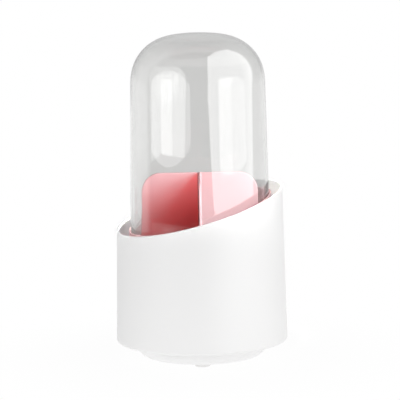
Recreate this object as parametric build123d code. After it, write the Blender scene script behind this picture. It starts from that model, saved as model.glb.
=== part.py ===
from build123d import *
import math
import os

# Makeup brush organizer: a slanted barrel that turns on a ball-bearing foot, a tinted cup inside it
# with a T-shaped partition, and a clear domed lid that stands inside the cup.
# Millimetres, +Z up. The origin is on the table, in the middle of the foot. The divider of the
# partition points to -Y. The slanted rim is lowest towards -X, turned a little towards -Y.

# Rubber pads
pad_count = 4
pad_circle_radius = 31.0
pad_radius = 7.0            # where the pad leaves the foot
pad_toe_radius = 5.2        # where it meets the table
pad_stand_out = 2.8         # height of the pad below the foot
pad_recess = 1.0            # depth of the pad's seat in the foot
pad_toe_round = 0.9
pad_fit = 0.05

# Foot
foot_flat_radius = 39.4
foot_corner_radius = 9.2
foot_rim_radius = 48.8
foot_height = 11.7
foot_wall = 2.0
foot_lip_round = 0.6
foot_rib_count = 8
foot_rib_height = 2.2

# Pivot between the foot and the barrel
spindle_radius = 7.0
spindle_fit = 0.06          # radial running clearance of the spindle in the hub
hub_collar_wall = 3.0
hub_collar_height = 2.9
hub_plate = 2.0
hub_pocket_radius = 12.5
hub_pocket_wall = 2.0
hub_pocket_round = 0.8
washer_radius = 10.5
washer_thickness = 1.0
washer_play = 0.1           # lets the barrel turn freely
screw_shank_radius = 1.95
screw_hole_clearance = 0.06
screw_length = 11.0
screw_head_radius = 4.0
screw_head_height = 2.4
screw_head_set_back = 0.4   # the head stays this far above the foot's underside
screw_head_round = 1.1
screw_cross_length = 4.6
screw_cross_width = 0.9
screw_cross_depth = 1.2

# Ball race
ball_count = 12
ball_radius = 2.5
ball_circle_radius = 36.0
groove_clearance = 0.1
race_half_gap = 0.9         # from the middle of the balls to the face of either race
race_land = 1.2             # flat beside the groove
cage_thickness = 1.2
cage_border = 1.9           # rim of the cage outside the pockets
pocket_clearance = 0.15

# Barrel
barrel_base_radius = 63.5
barrel_draft = 1.1          # degrees, narrower towards the rim
barrel_wall = 2.0
barrel_floor = 2.2
barrel_skirt_width = 3.0
barrel_underside_recess = 1.4
barrel_foot_gap = 0.6       # between the foot's lip and the barrel's underside
barrel_base_round = 2.2
barrel_floor_round = 3.0
barrel_rim_round = 0.9
barrel_rib_count = 6
barrel_rib_height = 3.0
rib_thickness = 1.6
rim_height = 99.8           # above the barrel's base edge, measured on the axis
rim_tilt = 14.9             # degrees
rim_bearing = 12.0          # degrees from the X axis to the line of steepest slope
locating_ring_wall = 1.6
locating_ring_height = 4.0
locating_ring_gap = 0.3

# Lid
lid_spigot_radius = 51.4    # the straight part that goes into the cup
lid_spigot_height = 34.0
lid_draft = 1.1             # degrees
lid_wall = 1.8
lid_height = 159.0          # from its lower edge to the crown
lid_corner_radius = 33.0
lid_crown_radius = 160.0
lid_edge_round = 0.4

# Cup
cup_wall = 1.3
cup_floor = 1.6
cup_draft = 0.5             # degrees, below the ledge
cup_ledge_height = 66.7     # from the underside of the cup to the ledge that carries the lid
cup_ledge_width = 2.2
cup_ledge_slope = 3.0       # height of the cone under the ledge
cup_lid_gap = 0.2
cup_rim_drop = 2.5          # how far the cup's rim lies under the barrel's
cup_rim_round = 0.45
cup_inside_round = 3.0
cup_outside_round = 2.0
cup_ledge_round = 0.8

# Partition
panel_setback = 18.0        # from the axis to the front of the cross panel
panel_thickness = 1.6
panel_height = 118.1
panel_corner_radius = 15.0
panel_toe_radius = 4.0
panel_side_gap = 0.65       # to the cup's wall at its floor
panel_root_fillet = 1.0
panel_edge_round = 0.6

# Heights above the table
foot_underside = pad_stand_out
foot_floor_top = foot_underside + foot_wall
foot_lip = foot_underside + foot_height
barrel_underside = foot_lip + barrel_foot_gap
barrel_base = barrel_underside - barrel_underside_recess
barrel_floor_top = barrel_underside + barrel_floor
rim_middle = barrel_base + rim_height
ball_level = (foot_floor_top + barrel_underside) / 2
lower_race_top = ball_level - race_half_gap
upper_race_bottom = ball_level + race_half_gap
screw_head_bottom = foot_underside + screw_head_set_back
washer_bottom = screw_head_bottom + screw_head_height
spindle_end = washer_bottom + washer_thickness
hub_plate_bottom = spindle_end + washer_play
hub_plate_top = hub_plate_bottom + hub_plate
hub_collar_top = hub_plate_top + hub_collar_height
cup_floor_top = barrel_floor_top + cup_floor
ledge_level = barrel_floor_top + cup_ledge_height

# Radii that follow from the sizes above
groove_radius = ball_radius + groove_clearance
race_half_width = math.sqrt(groove_radius**2 - race_half_gap**2) + race_land
hub_hole_radius = spindle_radius + spindle_fit
hub_radius = hub_pocket_radius + hub_pocket_wall
cup_mouth_radius = lid_spigot_radius + cup_lid_gap
cup_mouth_outer = cup_mouth_radius + cup_wall
cup_ledge_radius = cup_mouth_radius - cup_ledge_width
cup_toe_radius = cup_ledge_radius - cup_ledge_height * math.tan(math.radians(cup_draft))
cup_toe_outer = cup_toe_radius + cup_wall
panel_reach = cup_toe_radius - panel_side_gap

# Solids are fused with this much overlap, so that no two faces only touch
root = 0.2


def turned(points):
    """A solid turned round Z from a closed outline of (radius, height) points."""
    outline = Polyline(*[(r, 0, z) for r, z in points], close=True)
    return revolve(make_face(outline), Axis.Z)


def disc(radius, bottom, top):
    """An upright cylinder round Z between two heights."""
    return Pos(0, 0, (bottom + top) / 2) * Cylinder(radius, top - bottom)


def tube(inner, outer, bottom, top):
    """An upright ring between two heights."""
    return disc(outer, bottom, top) - disc(inner, bottom - 1, top + 1)


def around(count, radius=0.0, start=0.0):
    """Places evenly spaced round the Z axis from one bearing, each facing outwards."""
    return [Rot(0, 0, start + 360 * i / count) * Pos(radius, 0, 0) for i in range(count)]


def radial_ribs(count, inner, outer, bottom, top):
    """Upright ribs that run outwards between two radii."""
    rib = Box(outer - inner, rib_thickness, top - bottom)
    middle = Pos((inner + outer) / 2, 0, (bottom + top) / 2)
    return [place * middle * rib for place in around(count)]


def circles(part, level):
    """The round edges of a part that lie at one height."""
    found = part.edges().filter_by(GeomType.CIRCLE)
    return [e for e in found if abs(e.center().Z - level) < 0.01]


def circle_at(part, level, radius):
    """The round edge at one height that has one radius."""
    return [e for e in circles(part, level) if abs(e.radius - radius) < 0.05]


def rim_plane(drop):
    """The slanted plane of the rim, lowered by a vertical distance."""
    tilt, bearing = math.radians(rim_tilt), math.radians(rim_bearing)
    normal = (
        -math.sin(tilt) * math.cos(bearing),
        -math.sin(tilt) * math.sin(bearing),
        math.cos(tilt),
    )
    return Plane(origin=(0, 0, rim_middle - drop), z_dir=normal)


def cut_at_rim(part, drop, edge_round):
    """Cuts a wall along the slanted rim and rounds both of its edges."""
    plane = rim_plane(drop)
    cut = split(part, bisect_by=plane, keep=Keep.BOTTOM)
    rim_face = cut.faces().filter_by(plane)[0]
    return fillet(rim_face.edges(), edge_round)


def race_groove():
    """The ring that the balls roll in, with its running clearance."""
    return Pos(0, 0, ball_level) * Torus(ball_circle_radius, groove_radius)


def pad_places():
    """The first pad is at the front, under the divider of the partition."""
    return around(pad_count, pad_circle_radius, -90)


def make_rubber_pads():
    """Tapered pads, each with a plug that sits in the foot."""
    pad = turned([
        (0, 0),
        (pad_toe_radius, 0),
        (pad_radius, pad_stand_out),
        (pad_radius, pad_stand_out + pad_recess),
        (0, pad_stand_out + pad_recess),
    ])
    pad = fillet(circles(pad, 0), pad_toe_round)
    return Compound([place * pad for place in pad_places()])


def foot_bowl():
    """A shallow bowl: flat underside, large corner arc, and a wall that leans to the lip."""
    centre = Vector(foot_flat_radius, 0, foot_underside + foot_corner_radius)
    to_lip = Vector(foot_rim_radius, 0, foot_lip) - centre
    lift = math.atan2(to_lip.Z, to_lip.X)
    meet = lift - math.acos(foot_corner_radius / to_lip.length)
    outwards = Vector(math.cos(meet), 0, math.sin(meet))
    upwards = Vector(-math.sin(meet), 0, math.cos(meet))

    def skin(radius):
        """Flat, arc and leaning wall at one distance from the corner's centre."""
        arc_end = centre + outwards * radius
        half = (meet - math.pi / 2) / 2
        arc_middle = centre + Vector(math.cos(half), 0, math.sin(half)) * radius
        arc_start = centre - Vector(0, 0, radius)
        wall_top = arc_end + upwards * ((foot_lip - arc_end.Z) / upwards.Z)
        axis_point = Vector(0, 0, arc_start.Z)
        return [
            Line(axis_point, arc_start),
            ThreePointArc(arc_start, arc_middle, arc_end),
            Line(arc_end, wall_top),
        ], axis_point, wall_top

    outside, outside_axis, outside_top = skin(foot_corner_radius)
    inside, inside_axis, inside_top = skin(foot_corner_radius - foot_wall)
    closing = [Line(outside_top, inside_top), Line(inside_axis, outside_axis)]
    bowl = revolve(make_face(outside + inside + closing), Axis.Z)
    return fillet(circles(bowl, foot_lip), foot_lip_round)


def make_foot():
    """The foot with its lower race, stiffening ribs, hub, hub pocket and pad seats."""
    inner, outer = ball_circle_radius - race_half_width, ball_circle_radius + race_half_width
    foot = foot_bowl()
    foot += tube(inner, outer, foot_floor_top - root, lower_race_top)
    foot += disc(hub_radius, foot_underside, hub_plate_top)
    foot += disc(hub_hole_radius + hub_collar_wall, hub_plate_bottom, hub_collar_top)
    rib_start, rib_end = hub_radius - root, inner + root
    rib_bottom, rib_top = foot_floor_top - root, foot_floor_top + foot_rib_height
    for rib in radial_ribs(foot_rib_count, rib_start, rib_end, rib_bottom, rib_top):
        foot += rib
    foot -= race_groove()
    foot -= disc(hub_pocket_radius, foot_underside - 1, hub_plate_bottom)
    foot = fillet(circle_at(foot, foot_underside, hub_pocket_radius), hub_pocket_round)
    foot -= disc(hub_hole_radius, hub_plate_bottom - 1, hub_collar_top + 1)
    seat = disc(pad_radius + pad_fit, foot_underside - 1, foot_underside + pad_recess)
    for place in pad_places():
        foot -= place * seat
    return foot


def make_balls():
    """Steel balls, evenly spaced in the race."""
    ball = Sphere(ball_radius)
    places = around(ball_count, ball_circle_radius)
    return Compound([Pos(0, 0, ball_level) * place * ball for place in places])


def make_cage():
    """A flat ring with a pocket round each ball."""
    pocket = ball_radius + pocket_clearance
    half_width = pocket + cage_border
    bottom, top = ball_level - cage_thickness / 2, ball_level + cage_thickness / 2
    cage = tube(ball_circle_radius - half_width, ball_circle_radius + half_width, bottom, top)
    hole = disc(pocket, bottom - 1, top + 1)
    for place in around(ball_count, ball_circle_radius):
        cage -= place * hole
    return cage


def make_washer():
    """The steel washer that holds the foot against the spindle."""
    hole = screw_shank_radius + screw_hole_clearance
    return tube(hole, washer_radius, washer_bottom, spindle_end)


def make_screw():
    """A pan-head screw with a cross recess, driven up into the spindle."""
    head = disc(screw_head_radius, screw_head_bottom, washer_bottom)
    head = fillet(circles(head, screw_head_bottom), screw_head_round)
    shank = disc(screw_shank_radius, washer_bottom - root, washer_bottom + screw_length)
    point = circles(shank, washer_bottom + screw_length)
    screw = head + chamfer(point, screw_shank_radius / 2)
    slot = Box(screw_cross_length, screw_cross_width, 2 * screw_cross_depth)
    for turn in (0, 90):
        screw -= Pos(0, 0, screw_head_bottom) * Rot(0, 0, turn) * slot
    return screw


def make_barrel():
    """The slanted barrel: tapered wall, floor, locating ring, spindle, ribs and upper race."""
    taper = math.tan(math.radians(barrel_draft))
    above_rim = rim_height + barrel_base_radius
    top_radius = barrel_base_radius - above_rim * taper
    floor_radius = barrel_base_radius - (barrel_floor_top - barrel_base) * taper - barrel_wall
    skirt_radius = barrel_base_radius - barrel_skirt_width
    barrel = turned([
        (0, barrel_underside),
        (skirt_radius, barrel_underside),
        (skirt_radius, barrel_base),
        (barrel_base_radius, barrel_base),
        (top_radius, barrel_base + above_rim),
        (top_radius - barrel_wall, barrel_base + above_rim),
        (floor_radius, barrel_floor_top),
        (0, barrel_floor_top),
    ])
    barrel = cut_at_rim(barrel, 0, barrel_rim_round)
    barrel = fillet(circle_at(barrel, barrel_base, barrel_base_radius), barrel_base_round)
    barrel = fillet(circle_at(barrel, barrel_floor_top, floor_radius), barrel_floor_round)

    ring_inner = cup_toe_outer + locating_ring_gap
    ring_outer = ring_inner + locating_ring_wall
    ring_top = barrel_floor_top + locating_ring_height
    barrel += tube(ring_inner, ring_outer, barrel_floor_top - root, ring_top)

    race_inner = ball_circle_radius - race_half_width
    race_outer = ball_circle_radius + race_half_width
    barrel += tube(race_inner, race_outer, upper_race_bottom, barrel_underside + root)
    barrel += disc(spindle_radius, spindle_end, barrel_underside + root)
    rib_start, rib_end = spindle_radius - root, race_inner + root
    rib_bottom, rib_top = barrel_underside - barrel_rib_height, barrel_underside + root
    for rib in radial_ribs(barrel_rib_count, rib_start, rib_end, rib_bottom, rib_top):
        barrel += rib
    barrel -= race_groove()
    hole = screw_shank_radius + screw_hole_clearance
    hole_end = washer_bottom + screw_length + screw_hole_clearance
    return barrel - disc(hole, spindle_end - 1, hole_end)


def make_cup():
    """The tinted cup: a tapered tumbler with a ledge for the lid and a wider mouth above it."""
    above_rim = rim_middle + barrel_base_radius
    cone_top = ledge_level - cup_wall
    cup = turned([
        (0, barrel_floor_top),
        (cup_toe_outer, barrel_floor_top),
        (cup_ledge_radius + cup_wall, cone_top - cup_ledge_slope),
        (cup_mouth_outer, cone_top),
        (cup_mouth_outer, above_rim),
        (cup_mouth_radius, above_rim),
        (cup_mouth_radius, ledge_level),
        (cup_ledge_radius, ledge_level),
        (cup_toe_radius, cup_floor_top),
        (0, cup_floor_top),
    ])
    cup = cut_at_rim(cup, cup_rim_drop, cup_rim_round)
    cup = fillet(circle_at(cup, cup_floor_top, cup_toe_radius), cup_inside_round)
    cup = fillet(circle_at(cup, barrel_floor_top, cup_toe_outer), cup_outside_round)
    cup = fillet(circle_at(cup, cone_top, cup_mouth_outer), cup_ledge_round)
    return cup


def make_partition():
    """The T-shaped partition: a cross panel behind the axis and a divider that runs to the front."""
    bottom, top = cup_floor_top, cup_floor_top + panel_height
    back = panel_setback + panel_thickness
    half_width = math.sqrt(panel_reach**2 - back**2)
    front = -math.sqrt(panel_reach**2 - (panel_thickness / 2) ** 2)

    def upright(left, right, free_ends):
        """The face of one panel, with large top corners and smaller toes at its free ends."""
        face = Pos((left + right) / 2, (bottom + top) / 2) * Rectangle(right - left, top - bottom)
        for level, radius in ((top, panel_corner_radius), (bottom, panel_toe_radius)):
            corners = [v for v in face.vertices() if abs(v.Y - level) < 0.01]
            corners = [v for v in corners if any(abs(v.X - end) < 0.01 for end in free_ends)]
            face = fillet(corners, radius)
        return face

    cross_face = upright(-half_width, half_width, (-half_width, half_width))
    cross = extrude(Plane.XZ.offset(-back) * cross_face, panel_thickness)
    divider_face = upright(front, panel_setback + root, (front,))
    divider = extrude(Plane.YZ * divider_face, panel_thickness / 2, both=True)
    partition = cross + divider

    def at_root(edge, reach):
        """Whether an edge lies in the corner between the divider and the cross panel."""
        centre = edge.center()
        near_divider = abs(centre.X) < panel_thickness / 2 + reach
        return near_divider and abs(centre.Y - panel_setback) < reach

    uprights = partition.edges().filter_by(Axis.Z)
    partition = fillet([e for e in uprights if at_root(e, 0.01)], panel_root_fillet)

    def is_outline(edge):
        """The edges of the outline, without the seams across it, the roots and the underside."""
        in_root = at_root(edge, panel_root_fillet + 0.01) and edge.length > 2 * panel_root_fillet
        seam = edge.geom_type == GeomType.LINE and abs(edge.length - panel_thickness) < 0.01
        return edge.center().Z > bottom + 0.01 and not in_root and not seam

    return fillet([e for e in partition.edges() if is_outline(e)], panel_edge_round)


def make_lid():
    """The clear lid: straight spigot, drafted wall, corner arc and a shallow crown."""
    draft = math.radians(lid_draft)
    spigot_top = ledge_level + lid_spigot_height
    crown_centre = Vector(0, 0, ledge_level + lid_height - lid_crown_radius)
    outwards = Vector(math.cos(draft), 0, math.sin(draft))
    upwards = Vector(-math.sin(draft), 0, math.cos(draft))
    # The corner's centre lies one corner radius inside the drafted wall, and one corner radius
    # inside the crown, so it is found along the wall's direction.
    start = Vector(lid_spigot_radius, 0, spigot_top) - outwards * lid_corner_radius
    from_crown = start - crown_centre
    reach = lid_crown_radius - lid_corner_radius
    along = from_crown.dot(upwards)
    climb = -along + math.sqrt(along**2 - from_crown.dot(from_crown) + reach**2)
    corner_centre = start + upwards * climb
    to_crown = (corner_centre - crown_centre).normalized()
    lean = math.atan2(to_crown.Z, to_crown.X)
    half = (lean + draft) / 2
    middle = Vector(math.cos(half), 0, math.sin(half))
    crown_half = (lean + math.pi / 2) / 2

    def skin(inset):
        """Crown, corner, drafted wall and spigot at one depth inside the outer surface."""
        crown = lid_crown_radius - inset
        corner = lid_corner_radius - inset
        spigot = lid_spigot_radius - inset
        apex = crown_centre + Vector(0, 0, crown)
        crown_middle = crown_centre + Vector(math.cos(crown_half), 0, math.sin(crown_half)) * crown
        corner_top = corner_centre + to_crown * corner
        corner_end = corner_centre + outwards * corner
        bend = corner_end + upwards * ((corner_end.X - spigot) / math.sin(draft))
        foot = Vector(spigot, 0, ledge_level)
        return [
            ThreePointArc(apex, crown_middle, corner_top),
            ThreePointArc(corner_top, corner_centre + middle * corner, corner_end),
            Line(corner_end, bend),
            Line(bend, foot),
        ], apex, foot

    outside, outside_apex, outside_foot = skin(0)
    inside, inside_apex, inside_foot = skin(lid_wall)
    closing = [Line(outside_foot, inside_foot), Line(inside_apex, outside_apex)]
    lid = revolve(make_face(outside + inside + closing), Axis.Z)
    return fillet(circles(lid, ledge_level), lid_edge_round)


os.makedirs("parts", exist_ok=True)
nodes = {
    "rubber_pads": make_rubber_pads(),
    "foot_dish": make_foot(),
    "ball_cage": make_cage(),
    "bearing_balls": make_balls(),
    "pivot_washer": make_washer(),
    "pivot_screw": make_screw(),
    "slanted_barrel": make_barrel(),
    "inner_cup": make_cup(),
    "partition": make_partition(),
    "dome_lid": make_lid(),
}
for name, shape in nodes.items():
    export_step(shape, f"parts/{name}.step")
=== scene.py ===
import math

import bpy
import numpy as np
from mathutils import Matrix, Vector


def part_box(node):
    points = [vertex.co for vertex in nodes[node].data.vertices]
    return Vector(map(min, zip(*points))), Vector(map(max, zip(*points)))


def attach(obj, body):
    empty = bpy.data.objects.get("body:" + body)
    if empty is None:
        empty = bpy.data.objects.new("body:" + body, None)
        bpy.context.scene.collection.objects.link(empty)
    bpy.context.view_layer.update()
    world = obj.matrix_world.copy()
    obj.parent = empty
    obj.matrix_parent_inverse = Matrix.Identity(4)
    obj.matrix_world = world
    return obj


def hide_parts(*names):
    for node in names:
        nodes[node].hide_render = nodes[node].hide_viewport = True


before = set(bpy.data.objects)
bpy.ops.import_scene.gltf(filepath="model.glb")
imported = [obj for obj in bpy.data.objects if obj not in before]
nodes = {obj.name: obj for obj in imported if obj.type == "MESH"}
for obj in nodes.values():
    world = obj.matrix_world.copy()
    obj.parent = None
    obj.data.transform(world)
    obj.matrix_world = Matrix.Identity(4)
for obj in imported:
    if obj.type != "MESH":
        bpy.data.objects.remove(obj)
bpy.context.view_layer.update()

# Rubber pads: four tapered plugs of pale thermoplastic rubber, pushed into round seats in the
# underside of the foot. They keep a faint matt skin from the mould.
pad_colour = (0.84, 0.835, 0.825)
pad_roughness = (0.55, 0.7)
pad_grain_per_metre = 2500
pad_grain_depth = 0.00002
cloud_per_metre = 18
cloud_tone = (0.985, 1.01)


def wire(material, socket_from, socket_to):
    """Joins two sockets of a material."""
    material.node_tree.links.new(socket_from, socket_to)


def add_node(material, kind, **values):
    """Adds one node and sets its plain input values by name, with _ for a space."""
    node = material.node_tree.nodes.new("ShaderNode" + kind)
    for name, value in values.items():
        node.inputs[name.replace("_", " ")].default_value = value
    return node


def moulding(name, colour, roughness, grain_per_metre, grain_depth, **sockets):
    """A moulded surface: one colour with a faint cloudy change of tone, roughness that wanders
    between two values, and the fine grain of the mould as a bump. All three are noises on the
    piece's own place in metres."""
    material = bpy.data.materials.new(name)
    material.use_nodes = True
    shader = material.node_tree.nodes["Principled BSDF"]
    place = add_node(material, "TexCoord").outputs["Object"]
    cloud = add_node(material, "TexNoise", Scale=cloud_per_metre, Detail=3)
    wire(material, place, cloud.inputs["Vector"])
    tone = add_node(material, "MapRange", To_Min=cloud_tone[0], To_Max=cloud_tone[1])
    wire(material, cloud.outputs["Fac"], tone.inputs["Value"])
    paint = add_node(material, "VectorMath")
    paint.operation = "SCALE"
    paint.inputs[0].default_value = colour
    wire(material, tone.outputs["Result"], paint.inputs["Scale"])
    wire(material, paint.outputs["Vector"], shader.inputs["Base Color"])
    rough = add_node(material, "MapRange", To_Min=roughness[0], To_Max=roughness[1])
    wire(material, cloud.outputs["Fac"], rough.inputs["Value"])
    wire(material, rough.outputs["Result"], shader.inputs["Roughness"])
    grain = add_node(material, "TexNoise", Scale=grain_per_metre, Detail=2)
    wire(material, place, grain.inputs["Vector"])
    bump = add_node(material, "Bump", Strength=1, Distance=grain_depth)
    wire(material, grain.outputs["Fac"], bump.inputs["Height"])
    wire(material, bump.outputs["Normal"], shader.inputs["Normal"])
    for socket, value in sockets.items():
        shader.inputs[socket.replace("_", " ")].default_value = value
    return material


def finish_node(name, material):
    """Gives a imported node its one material."""
    mesh = nodes[name].data
    mesh.materials.clear()
    mesh.materials.append(material)


rubber = moulding("pale_rubber", pad_colour, pad_roughness, pad_grain_per_metre, pad_grain_depth)
finish_node("rubber_pads", rubber)

# Foot dish: one shallow moulding of white ABS with ribs below and the lower ball race above. It
# stands still on its pads while everything above it turns.
foot_colour = (0.92, 0.918, 0.916)
foot_roughness = (0.42, 0.52)
foot_grain_per_metre = 2200
foot_grain_depth = 0.000015
foot_plastic = moulding(
    "white_foot_plastic", foot_colour, foot_roughness, foot_grain_per_metre, foot_grain_depth
)
finish_node("foot_dish", foot_plastic)

# Ball cage: a flat ring of natural, undyed plastic with twelve round windows. It lies loose
# between the two races and keeps the balls apart.
cage_colour = (0.8, 0.79, 0.74)
cage_roughness = (0.4, 0.5)
cage_grain_per_metre = 1500
cage_grain_depth = 0.00001
cage_plastic = moulding(
    "natural_plastic", cage_colour, cage_roughness, cage_grain_per_metre, cage_grain_depth
)
finish_node("ball_cage", cage_plastic)

# Bearing balls: twelve ground and polished steel balls, bought in ready made. They roll in the
# windows of the cage and carry the barrel.
ball_colour = (0.72, 0.72, 0.73)
ball_roughness = (0.08, 0.14)
ball_grain_per_metre = 3000
ball_grain_depth = 0.000002
ball_steel = moulding(
    "polished_steel", ball_colour, ball_roughness, ball_grain_per_metre, ball_grain_depth,
    Metallic=1.0,
)
finish_node("bearing_balls", ball_steel)

# Pivot washer and screw: steel with bright zinc plating. The screw goes up through the washer and
# the foot's hub into the barrel's spindle and holds the turntable together.
zinc_colour = (0.7, 0.7, 0.71)
zinc_roughness = (0.25, 0.35)
zinc_grain_per_metre = 3000
zinc_grain_depth = 0.000005
zinc = moulding(
    "zinc_plate", zinc_colour, zinc_roughness, zinc_grain_per_metre, zinc_grain_depth,
    Metallic=1.0,
)
finish_node("pivot_washer", zinc)
finish_node("pivot_screw", zinc)

# Slanted barrel: the outer wall, moulded in the same white ABS as the foot. It has a satin face,
# a slight taper for the mould and a slanted rim with a full round.
barrel_colour = (0.92, 0.918, 0.916)
barrel_roughness = (0.42, 0.52)
barrel_grain_per_metre = 2200
barrel_grain_depth = 0.000015
barrel_plastic = moulding(
    "white_barrel_plastic", barrel_colour, barrel_roughness, barrel_grain_per_metre,
    barrel_grain_depth,
)
finish_node("slanted_barrel", barrel_plastic)

# Inner cup: a see-through rose moulding that drops into the barrel. Its wall is thin, so it lets
# most of the light through and takes on a light tint.
cup_colour = (0.97, 0.66, 0.66)
cup_roughness = (0.1, 0.15)
cup_clear_share = 0.45
cup_clear_tint = (1.0, 0.75, 0.75)
cup_lamp_tint = (0.99, 0.9, 0.9)
# Heights between which the lamp tint changes. On the partition this paints shade that deepens
# downwards; on the cup both tints are the same.
painted_shade_low_height = 0.1
painted_shade_high_height = 0.14
rose_cloud_per_metre = 25
rose_cloud_tone = (0.97, 1.02)


def rose_plastic(name, colour, roughness, clear_share, clear_tint, lamp_tint_low, lamp_tint_high):
    """Tinted plastic: a glossy milky skin, part of it left clear. Light from the lamps passes
    straight through and takes a tint at each face. Where the low and high tints differ, this is
    painted shade: the tint is set deeper lower down, between two heights, so what the lamps light
    through it darkens downwards. All of it varies with noise or height on the piece's own place in
    metres."""
    material = bpy.data.materials.new(name)
    material.use_nodes = True
    tree = material.node_tree
    shader = tree.nodes["Principled BSDF"]
    place = add_node(material, "TexCoord").outputs["Object"]
    cloud = add_node(material, "TexNoise", Scale=rose_cloud_per_metre, Detail=3)
    wire(material, place, cloud.inputs["Vector"])
    tone = add_node(material, "MapRange", To_Min=rose_cloud_tone[0], To_Max=rose_cloud_tone[1])
    wire(material, cloud.outputs["Fac"], tone.inputs["Value"])
    paint = add_node(material, "VectorMath")
    paint.operation = "SCALE"
    paint.inputs[0].default_value = colour
    wire(material, tone.outputs["Result"], paint.inputs["Scale"])
    wire(material, paint.outputs["Vector"], shader.inputs["Base Color"])
    rough = add_node(material, "MapRange", To_Min=roughness[0], To_Max=roughness[1])
    wire(material, cloud.outputs["Fac"], rough.inputs["Value"])
    wire(material, rough.outputs["Result"], shader.inputs["Roughness"])
    window = add_node(material, "BsdfTransparent", Color=(*clear_tint, 1))
    body = add_node(material, "MixShader", Fac=clear_share)
    wire(material, shader.outputs[0], body.inputs[1])
    wire(material, window.outputs[0], body.inputs[2])
    axes = add_node(material, "SeparateXYZ")
    wire(material, place, axes.inputs[0])
    height = add_node(material, "MapRange", From_Min=painted_shade_low_height, From_Max=painted_shade_high_height)
    wire(material, axes.outputs["Z"], height.inputs["Value"])
    tint = add_node(material, "MixRGB", Color1=(*lamp_tint_low, 1), Color2=(*lamp_tint_high, 1))
    wire(material, height.outputs["Result"], tint.inputs["Fac"])
    shade = add_node(material, "BsdfTransparent")
    wire(material, tint.outputs["Color"], shade.inputs["Color"])
    path = add_node(material, "LightPath")
    either = add_node(material, "Math")
    either.operation = "MAXIMUM"
    wire(material, path.outputs["Is Shadow Ray"], either.inputs[0])
    wire(material, path.outputs["Is Diffuse Ray"], either.inputs[1])
    mix = add_node(material, "MixShader")
    wire(material, either.outputs[0], mix.inputs["Fac"])
    wire(material, body.outputs[0], mix.inputs[1])
    wire(material, shade.outputs[0], mix.inputs[2])
    wire(material, mix.outputs[0], tree.nodes["Material Output"].inputs["Surface"])
    return material


cup_plastic = rose_plastic(
    "rose_cup", cup_colour, cup_roughness, cup_clear_share, cup_clear_tint, cup_lamp_tint,
    cup_lamp_tint,
)
finish_node("inner_cup", cup_plastic)

# Partition: a T of the same rose plastic in a thicker wall, dropped into the cup. The divider
# colours the light that comes through it, so the side away from the lamp turns deep red. Its tint
# for lamp light is painted shade: it is set much deeper at the bottom than at the top, so that
# side also darkens downwards.
panel_colour = (0.86, 0.61, 0.64)
panel_roughness = (0.2, 0.25)
panel_clear_share = 0.2
panel_clear_tint = (0.95, 0.25, 0.25)
# Painted shade: the lamp tint at the bottom is far deeper than at the top, so light through the
# divider darkens downwards.
panel_painted_shade_tint_low = (0.5, 0.05, 0.05)
panel_painted_shade_tint_high = (0.95, 0.5, 0.5)
panel_plastic = rose_plastic(
    "rose_panel", panel_colour, panel_roughness, panel_clear_share, panel_clear_tint,
    panel_painted_shade_tint_low, panel_painted_shade_tint_high,
)
finish_node("partition", panel_plastic)

# Dome lid: one thin injection moulding of clear polystyrene, straight where it stands in the cup,
# then leaning in a little to a large corner and a shallow crown. It only rests on the cup's ledge.
lid_low, lid_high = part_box("dome_lid")
lid_foot, lid_apex, lid_radius = lid_low.z, lid_high.z, lid_high.x
lid_wall = 0.0018
lid_spigot_height = 0.034
lid_lean = math.radians(1.1)
lid_crown_radius = 0.16
lid_corner_radius = 0.033
lid_blend = 0.02
lid_edge_round = 0.0004
lid_edge_points = 5
lid_sides = 192
lid_fine_step = 0.0001
lid_point_spacing = 0.008
lid_point_turn = 1.5
lid_colour = (0.86, 0.86, 0.855, 1)
lid_lamp_colour = (1, 1, 1, 1)
lid_index = 1.58
lid_waves_per_metre = 14
lid_wave_depth = 0.0003


def lid_corner():
    """The corner's centre lies one corner radius inside the leaning wall and one corner radius
    inside the crown. It is found along the wall's direction from the top of the spigot. The
    results are the crown's and the corner's share of the turn from level to the wall."""
    outwards = np.array([math.cos(lid_lean), math.sin(lid_lean)])
    upwards = np.array([-math.sin(lid_lean), math.cos(lid_lean)])
    crown_centre = np.array([0, lid_apex - lid_crown_radius])
    start = np.array([lid_radius, lid_foot + lid_spigot_height]) - outwards * lid_corner_radius
    away = start - crown_centre
    reach = lid_crown_radius - lid_corner_radius
    along = away @ upwards
    centre = start + upwards * (math.sqrt(along**2 - away @ away + reach**2) - along)
    crown_turn = math.asin(centre[0] / reach)
    return crown_turn, math.pi / 2 - lid_lean - crown_turn


def lid_skin():
    """The outer skin from the apex to the top of the spigot, as radius, height and slope. Its bend
    is 1 / crown radius, then 1 / corner radius, then none, and each change is eased over the blend
    length. The slope is the running sum of the bend; radius and height are the running sums of the
    slope's cosine and sine. Of the fine steps, a point is kept after each spacing or turn."""
    step = lid_fine_step
    crown_turn, corner_turn = lid_corner()
    crown_length = lid_crown_radius * crown_turn
    corner_length = lid_corner_radius * corner_turn
    length = np.arange(step / 2, lid_apex, step)
    bend = np.where(length < crown_length, 1 / lid_crown_radius, 1 / lid_corner_radius)
    bend = np.where(length < crown_length + corner_length, bend, 0)
    reach = int(lid_blend / step / 2)
    ease = np.hanning(2 * reach + 1)
    padded = np.concatenate([np.full(reach, bend[0]), bend, np.zeros(reach)])
    bend = np.convolve(padded, ease / ease.sum(), "valid")
    slope = np.cumsum(bend) * step
    radius = np.concatenate([[0], np.cumsum(np.cos(slope)) * step])
    height = lid_apex - np.concatenate([[0], np.cumsum(np.sin(slope)) * step])
    slope = np.concatenate([[0], slope])
    above = height > lid_foot + lid_spigot_height
    radius, height, slope = radius[above], height[above], slope[above]
    measure = np.arange(len(slope)) * step / lid_point_spacing + np.degrees(slope) / lid_point_turn
    kept = np.concatenate([[True], np.diff(np.floor(measure)) > 0])
    kept[-1] = True
    return radius[kept], height[kept], slope[kept]


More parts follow.
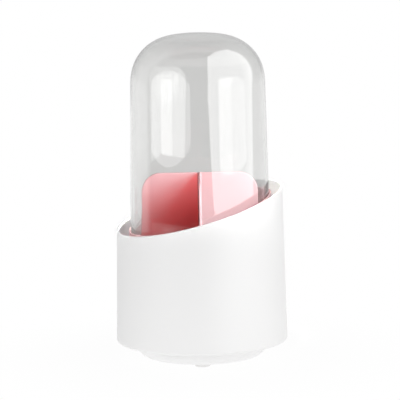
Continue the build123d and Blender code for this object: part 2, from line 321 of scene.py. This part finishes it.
def lid_profile():
    """The closed half section: outer skin, spigot, rounded lower edge, and back up the inner skin,
    which lies one wall thickness inside along the skin's normal."""
    radius, height, slope = lid_skin()
    turn = np.linspace(0, math.pi / 2, lid_edge_points)
    outer_edge = lid_radius - lid_edge_round + lid_edge_round * np.cos(turn)
    inner_edge = lid_radius - lid_wall + lid_edge_round - lid_edge_round * np.cos(turn)
    edge_height = lid_foot + lid_edge_round - lid_edge_round * np.sin(turn)
    inner_radius = radius - lid_wall * np.sin(slope)
    inner_height = height - lid_wall * np.cos(slope)
    return (
        np.concatenate([radius, outer_edge, inner_edge[::-1], inner_radius[::-1]]),
        np.concatenate([height, edge_height, edge_height[::-1], inner_height[::-1]]),
    )


def turned_piece(name, radius, height, sides):
    """A profile that starts and ends on the axis, turned round it. Point (i, j) of the grid is
    (radius i * cos angle j, radius i * sin angle j, height i). The two ends are one point each,
    joined to their neighbours by a fan."""
    angle = np.linspace(0, 2 * math.pi, sides, endpoint=False)
    ring = np.stack([np.cos(angle), np.sin(angle), 0 * angle], 1)
    points = radius[1:-1, None, None] * ring + height[1:-1, None, None] * np.array([0, 0, 1])
    ends = np.array([[0, 0, height[0]], [0, 0, height[-1]]])
    rows = len(radius) - 2
    here = np.arange(rows * sides).reshape(rows, sides)
    beside = np.roll(here, -1, axis=1)
    quads = np.stack([here[:-1], here[1:], beside[1:], beside[:-1]], -1).reshape(-1, 4)
    first = np.stack([np.full(sides, rows * sides), here[0], beside[0]], -1)
    last = np.stack([np.full(sides, rows * sides + 1), beside[-1], here[-1]], -1)
    mesh = bpy.data.meshes.new(name)
    mesh.from_pydata(
        np.concatenate([points.reshape(-1, 3), ends]).tolist(),
        [],
        quads.tolist() + first.tolist() + last.tolist(),
    )
    mesh.shade_smooth()
    piece = bpy.data.objects.new(name, mesh)
    bpy.context.scene.collection.objects.link(piece)
    return piece


def clear_plastic():
    """Clear, faintly grey plastic with the slow waves of a moulded wall. Lamps reach what is
    inside it straight through the wall."""
    material = bpy.data.materials.new("clear_lid_plastic")
    material.use_nodes = True
    tree = material.node_tree
    shader = tree.nodes["Principled BSDF"]
    shader.inputs["Base Color"].default_value = lid_colour
    shader.inputs["Transmission Weight"].default_value = 1
    shader.inputs["Roughness"].default_value = 0
    shader.inputs["IOR"].default_value = lid_index
    place = add_node(material, "TexCoord").outputs["Object"]
    waves = add_node(material, "TexNoise", Scale=lid_waves_per_metre, Detail=1)
    wire(material, place, waves.inputs["Vector"])
    bump = add_node(material, "Bump", Strength=1, Distance=lid_wave_depth)
    wire(material, waves.outputs["Fac"], bump.inputs["Height"])
    wire(material, bump.outputs["Normal"], shader.inputs["Normal"])
    path = add_node(material, "LightPath")
    either = add_node(material, "Math")
    either.operation = "MAXIMUM"
    wire(material, path.outputs["Is Shadow Ray"], either.inputs[0])
    wire(material, path.outputs["Is Diffuse Ray"], either.inputs[1])
    window = add_node(material, "BsdfTransparent", Color=lid_lamp_colour)
    mix = add_node(material, "MixShader")
    wire(material, either.outputs[0], mix.inputs["Fac"])
    wire(material, shader.outputs[0], mix.inputs[1])
    wire(material, window.outputs[0], mix.inputs[2])
    wire(material, mix.outputs[0], tree.nodes["Material Output"].inputs["Surface"])
    return material


dome = turned_piece("clear_dome", *lid_profile(), lid_sides)
dome.data.materials.append(clear_plastic())
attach(dome, "lid")
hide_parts("dome_lid")

# Studio table: a round pale top. To the eye it is almost the white of the backdrop and keeps a
# soft shadow round the foot.
table_radius = 0.45
table_sides = 96
table_colour = (0.85, 0.85, 0.85, 1)
table_white_share = 0.97
table_shadow_radius = 0.05
table_white_radius = 0.2
table_glow_share = 0.9


def table_paint():
    """Matt pale paint mixed with a plain white glow. The glow's share grows away from the foot to
    the camera, mirrors and glass, and has one value for the light that bounces off the table."""
    material = bpy.data.materials.new("table_paint")
    material.use_nodes = True
    tree = material.node_tree
    tree.nodes.clear()
    path = add_node(material, "LightPath")
    plain = add_node(material, "BsdfDiffuse", Color=table_colour)
    white_glow = add_node(material, "Emission", Color=(1, 1, 1, 1), Strength=1.0)
    place = add_node(material, "TexCoord").outputs["Object"]
    away = add_node(material, "VectorMath")
    away.operation = "LENGTH"
    wire(material, place, away.inputs[0])
    eye_share = add_node(material, "MapRange", To_Min=table_white_share, To_Max=1)
    eye_share.inputs["From Min"].default_value = table_shadow_radius
    eye_share.inputs["From Max"].default_value = table_white_radius
    eye_share.interpolation_type = "SMOOTHSTEP"
    wire(material, away.outputs["Value"], eye_share.inputs["Value"])
    share = add_node(material, "MapRange", To_Max=table_glow_share)
    wire(material, path.outputs["Is Diffuse Ray"], share.inputs["Value"])
    wire(material, eye_share.outputs["Result"], share.inputs["To Min"])
    mix = add_node(material, "MixShader")
    wire(material, share.outputs["Result"], mix.inputs["Fac"])
    wire(material, plain.outputs[0], mix.inputs[1])
    wire(material, white_glow.outputs[0], mix.inputs[2])
    out = add_node(material, "OutputMaterial")
    wire(material, mix.outputs[0], out.inputs["Surface"])
    return material


angle = np.linspace(0, 2 * math.pi, table_sides, endpoint=False)
rim = np.stack([table_radius * np.cos(angle), table_radius * np.sin(angle), 0 * angle], 1)
table_mesh = bpy.data.meshes.new("table_top")
table_mesh.from_pydata(rim.tolist(), [], [list(range(table_sides))])
table_mesh.materials.append(table_paint())
table = bpy.data.objects.new("table_top", table_mesh)
bpy.context.scene.collection.objects.link(table)

# Studio room: a white backdrop behind and beside the object and a dark room in front of it. The
# camera sees plain white all round, and matt surfaces get one weak even light.
backdrop_white = 0.98
front_dark = 0.04
fill_light = 0.1
backdrop_from = -0.05
backdrop_full = 0.2
wall_top_from = -0.14
wall_top_full = 0.04
upper_share = 0.7


def studio_world():
    """One background whose strength depends on the kind of ray and, for mirrored and refracted
    rays, on how far they point to the back and upwards."""
    world = bpy.data.worlds.new("studio")
    world.use_nodes = True
    world.node_tree.nodes.clear()
    path = add_node(world, "LightPath")
    axes = add_node(world, "SeparateXYZ")
    wire(world, add_node(world, "TexCoord").outputs["Generated"], axes.inputs[0])
    around = add_node(world, "MapRange", From_Min=backdrop_from, From_Max=backdrop_full)
    around.inputs["To Min"].default_value = front_dark
    around.inputs["To Max"].default_value = backdrop_white
    around.interpolation_type = "SMOOTHSTEP"
    wire(world, axes.outputs["Y"], around.inputs["Value"])
    rise = add_node(world, "MapRange", From_Min=wall_top_from, From_Max=wall_top_full)
    rise.inputs["To Min"].default_value = 1
    rise.inputs["To Max"].default_value = upper_share
    rise.interpolation_type = "SMOOTHSTEP"
    wire(world, axes.outputs["Z"], rise.inputs["Value"])
    room = add_node(world, "Math")
    room.operation = "MULTIPLY"
    wire(world, around.outputs["Result"], room.inputs[0])
    wire(world, rise.outputs["Result"], room.inputs[1])
    matt = add_node(world, "Mix", B=fill_light)
    wire(world, path.outputs["Is Diffuse Ray"], matt.inputs["Factor"])
    wire(world, room.outputs["Value"], matt.inputs["A"])
    eye = add_node(world, "Mix", B=1)
    wire(world, path.outputs["Is Camera Ray"], eye.inputs["Factor"])
    wire(world, matt.outputs["Result"], eye.inputs["A"])
    background = add_node(world, "Background", Color=(1, 1, 1, 1))
    wire(world, eye.outputs["Result"], background.inputs["Strength"])
    wire(world, background.outputs[0], add_node(world, "OutputWorld").inputs["Surface"])
    return world


bpy.context.scene.world = studio_world()

# Two large soft boxes beside the camera, with cut corners and a brighter middle. What the dome
# mirrors and what lights matt surfaces are set apart. A place is the centre, the way its back
# points, the size and the roll in degrees. An outline is across and up, in metres.
right_face = ((0.55, -0.281, 0.466), (0.928, -0.248, 0.277), -27)
right_outline = (
    (-0.75, -0.85), (-0.7, 0.1), (-0.5, 0.84), (0, 1),
    (0.3, 1), (0.5, 0.5), (0.62, -0.1), (0.6, -0.85),
)
right_middle = ((0.531, -0.319, 0.215), (0.857, -0.515, 0), (0.578, 0.29), 0)
right_core = ((0.438, -0.438, 0.215), (0.7071, -0.7071, 0), (0.241, 0.29), 0)
right_box = ((0.369, -0.403, 0.588), (0.888, -0.354, 0.294), (1.362, 1.689), -19.2)
left_face = ((-0.519, -0.409, 0.326), (-0.733, -0.678, -0.061), 1.3)
left_outline = (
    (-0.45, -0.25), (-0.44, -0.06), (-0.32, 0.16), (-0.18, 0.27), (0.05, 0.33),
    (0.25, 0.25), (0.39, 0.05), (0.49, -0.04), (0.49, -0.25),
)
left_box = ((-0.504, -0.395, 0.327), (-0.733, -0.678, -0.061), (0.902, 0.505), 1.3)
left_core = ((-0.5, -0.367, 0.214), (-0.834, -0.552, 0), (0.22, 0.248), 0)
right_face_glow = 2.6
right_middle_glow = 0.9
right_core_glow = 0.6
left_face_glow = 1.2
left_core_glow = 1.1
right_light = 0.99
left_light = 1.7


def aimed(centre, outwards, roll):
    """The matrix of a lamp that shines inwards: its back points outwards and its long side lies
    level before it is rolled."""
    z_axis = Vector(outwards).normalized()
    x_axis = Vector((0, 0, 1)).cross(z_axis).normalized()
    level = Matrix((x_axis, z_axis.cross(x_axis), z_axis)).transposed()
    turned = level @ Matrix.Rotation(math.radians(roll), 3, "Z")
    return Matrix.Translation(Vector(centre)) @ turned.to_4x4()


def soft_box(name, place, brightness, mirrored):
    """A rectangular soft lamp. Its power gives the stated brightness, seen only in mirrored rays
    or only by matt surfaces."""
    centre, outwards, size, roll = place
    lamp = bpy.data.lights.new(name, "AREA")
    lamp.shape = "RECTANGLE"
    lamp.size, lamp.size_y = size
    lamp.energy = brightness * math.pi * size[0] * size[1]
    holder = bpy.data.objects.new(name, lamp)
    bpy.context.scene.collection.objects.link(holder)
    holder.matrix_world = aimed(centre, outwards, roll)
    holder.visible_camera = False
    holder.visible_diffuse = not mirrored
    holder.visible_glossy = mirrored
    holder.visible_transmission = mirrored
    return holder


def glowing_face(name, centre, outwards, roll, outline, brightness):
    """The face of a soft box: one flat polygon through the outline's corners that glows evenly.
    Only mirrored and refracted rays see it, and it lights and shades nothing."""
    mesh = bpy.data.meshes.new(name)
    mesh.from_pydata([(across, up, 0) for across, up in outline], [], [range(len(outline))])
    glow = bpy.data.materials.new(name)
    glow.use_nodes = True
    glow.node_tree.nodes.clear()
    shine = add_node(glow, "Emission", Strength=brightness)
    wire(glow, shine.outputs[0], add_node(glow, "OutputMaterial").inputs["Surface"])
    mesh.materials.append(glow)
    face = bpy.data.objects.new(name, mesh)
    bpy.context.scene.collection.objects.link(face)
    face.matrix_world = aimed(centre, outwards, roll)
    face.visible_camera = False
    face.visible_diffuse = False
    face.visible_shadow = False


glowing_face("right_face", *right_face, right_outline, right_face_glow)
glowing_face("left_face", *left_face, left_outline, left_face_glow)
soft_box("right_middle", right_middle, right_middle_glow, True)
soft_box("right_core", right_core, right_core_glow, True)
soft_box("left_core", left_core, left_core_glow, True)
right_lamp = soft_box("right_box", right_box, right_light, False)
left_lamp = soft_box("left_box", left_box, left_light, False)

# Lamps for the inside. The partition has two of its own from the right: a low one that only the
# partition blocks, so its divider shades the left side, and a higher one. A narrow beam from the
# front and above reaches down between the rim and the cup.
low_panel_box = ((0.6823, -0.3939, 0.2589), (0.852848, -0.492392, 0.173648), (0.35, 0.35), 0)
low_panel_light = 28
high_panel_box = ((0.4995, -0.4995, 0.4956), (0.624346, -0.624346, 0.469472), (0.35, 0.35), 0)
high_panel_light = 19
beam_place = (-0.045, -0.25, 0.6)
beam_aim = (0.0025, 0.02, 0.113)
beam_size = 0.13
beam_spread = math.radians(4)
beam_power = 0.087


def linked(name, node, state):
    """A collection of one node, which a lamp is told to INCLUDE or to EXCLUDE."""
    group = bpy.data.collections.new(name)
    group.objects.link(nodes[node])
    group.collection_objects[0].light_linking.link_state = state
    return group


low_panel_lamp = soft_box("low_panel_lamp", low_panel_box, low_panel_light, False)
high_panel_lamp = soft_box("high_panel_lamp", high_panel_box, high_panel_light, False)
beam = bpy.data.lights.new("inside_beam", "AREA")
beam.shape = "DISK"
beam.size = beam_size
beam.spread = beam_spread
beam.energy = beam_power
beam_lamp = bpy.data.objects.new("inside_beam", beam)
bpy.context.scene.collection.objects.link(beam_lamp)
beam_lamp.matrix_world = aimed(beam_place, Vector(beam_place) - Vector(beam_aim), 0)
beam_lamp.visible_camera = False
beam_lamp.visible_glossy = False
beam_lamp.visible_transmission = False

only_panel = linked("only_panel", "partition", "INCLUDE")
not_panel = linked("not_panel", "partition", "EXCLUDE")
low_panel_lamp.light_linking.receiver_collection = only_panel
low_panel_lamp.light_linking.blocker_collection = only_panel
high_panel_lamp.light_linking.receiver_collection = only_panel
for lamp in (right_lamp, left_lamp, beam_lamp):
    lamp.light_linking.receiver_collection = not_panel
    lamp.light_linking.blocker_collection = not_panel

# Camera: a long lens 3 m away. It looks down on the object by 9.5 degrees and is rolled a little,
# as in the photo.
image_size = 400
pixels_per_metre = 1350
camera_distance = 3
camera_elevation = math.radians(9.5)
camera_roll = math.radians(1.03)
camera_aim = Vector((0.00017, 0, 0.119))
camera = bpy.data.cameras.new("camera")
camera.lens = camera.sensor_width * pixels_per_metre * camera_distance / image_size
holder = bpy.data.objects.new("camera", camera)
bpy.context.scene.collection.objects.link(holder)
back = Vector((0, -math.cos(camera_elevation), math.sin(camera_elevation)))
upright = back.to_track_quat("Z", "Y")
holder.rotation_mode = "QUATERNION"
holder.rotation_quaternion = upright @ Matrix.Rotation(-camera_roll, 3, "Z").to_quaternion()
holder.location = camera_aim + back * camera_distance
bpy.context.scene.camera = holder
bpy.context.scene.view_settings.view_transform = "Standard"
